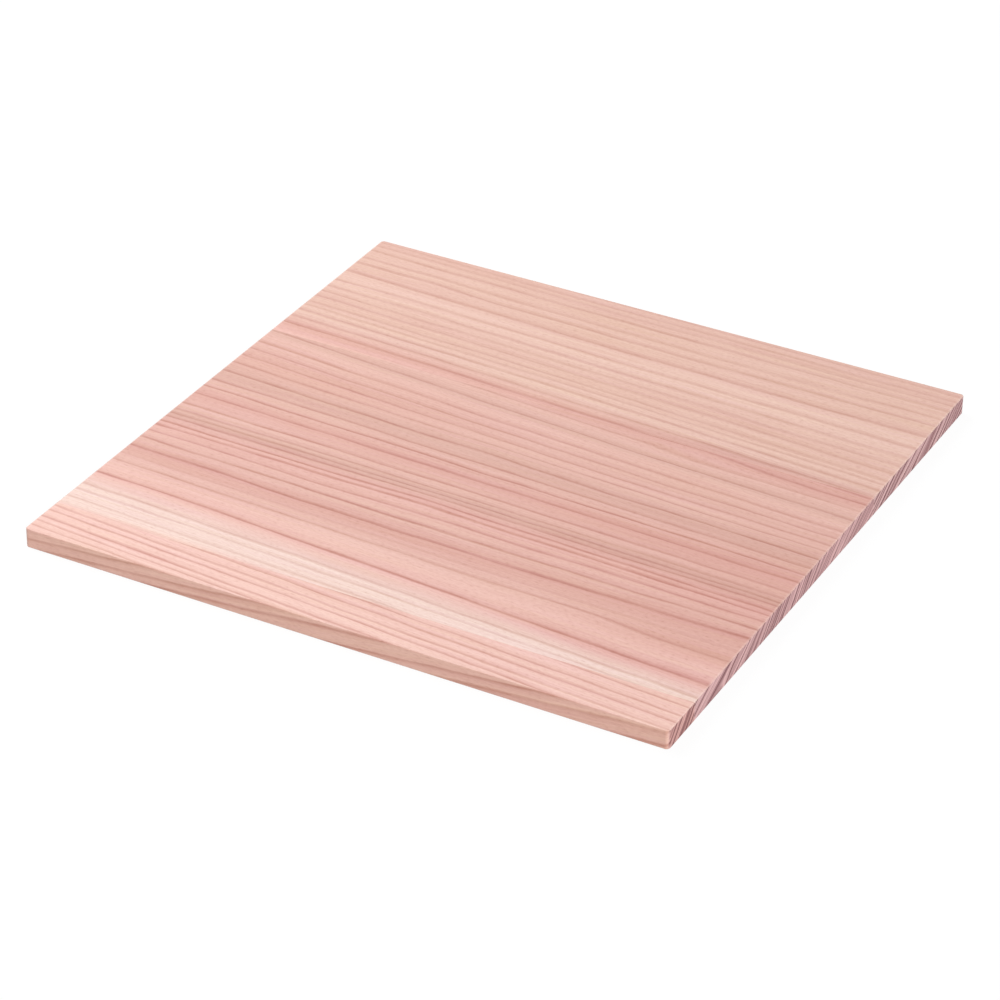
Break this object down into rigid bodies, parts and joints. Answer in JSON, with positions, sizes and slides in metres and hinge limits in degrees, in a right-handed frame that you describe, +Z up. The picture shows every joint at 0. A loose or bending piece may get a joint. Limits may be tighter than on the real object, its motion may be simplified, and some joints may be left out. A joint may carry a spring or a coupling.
{
  "type": "wooden plate",
  "caption": "Flat square wooden plate: a thin board of edge-glued cedar staves with lightly eased edges and corners, for serving or presenting food.",
  "frame": {"origin": "centre of the board's underside, on the surface that it lies on", "axes": "+Z up through the thickness, +X along the grain, +Y from the narrow front stave to the back stave"},
  "size_m": [0.3, 0.3, 0.009],
  "materials": {
    "salmon_cedar": "planed and sanded, no lacquer, pale salmon with fine ring lines along the board",
    "pink_cedar": "planed and sanded, no lacquer, pink heartwood with a cream sapwood streak along its front edge",
    "beige_cedar": "planed and sanded, no lacquer, pale beige pink with fine ring lines along the board",
    "cured_glue": "thin translucent film of cured wood glue, planed flush"
  },
  "bodies": {
    "root": {"front_stave": "salmon_cedar", "front_glue_line": "cured_glue", "middle_stave": "pink_cedar", "back_glue_line": "cured_glue", "back_stave": "beige_cedar"}
  },
  "joints": []
}
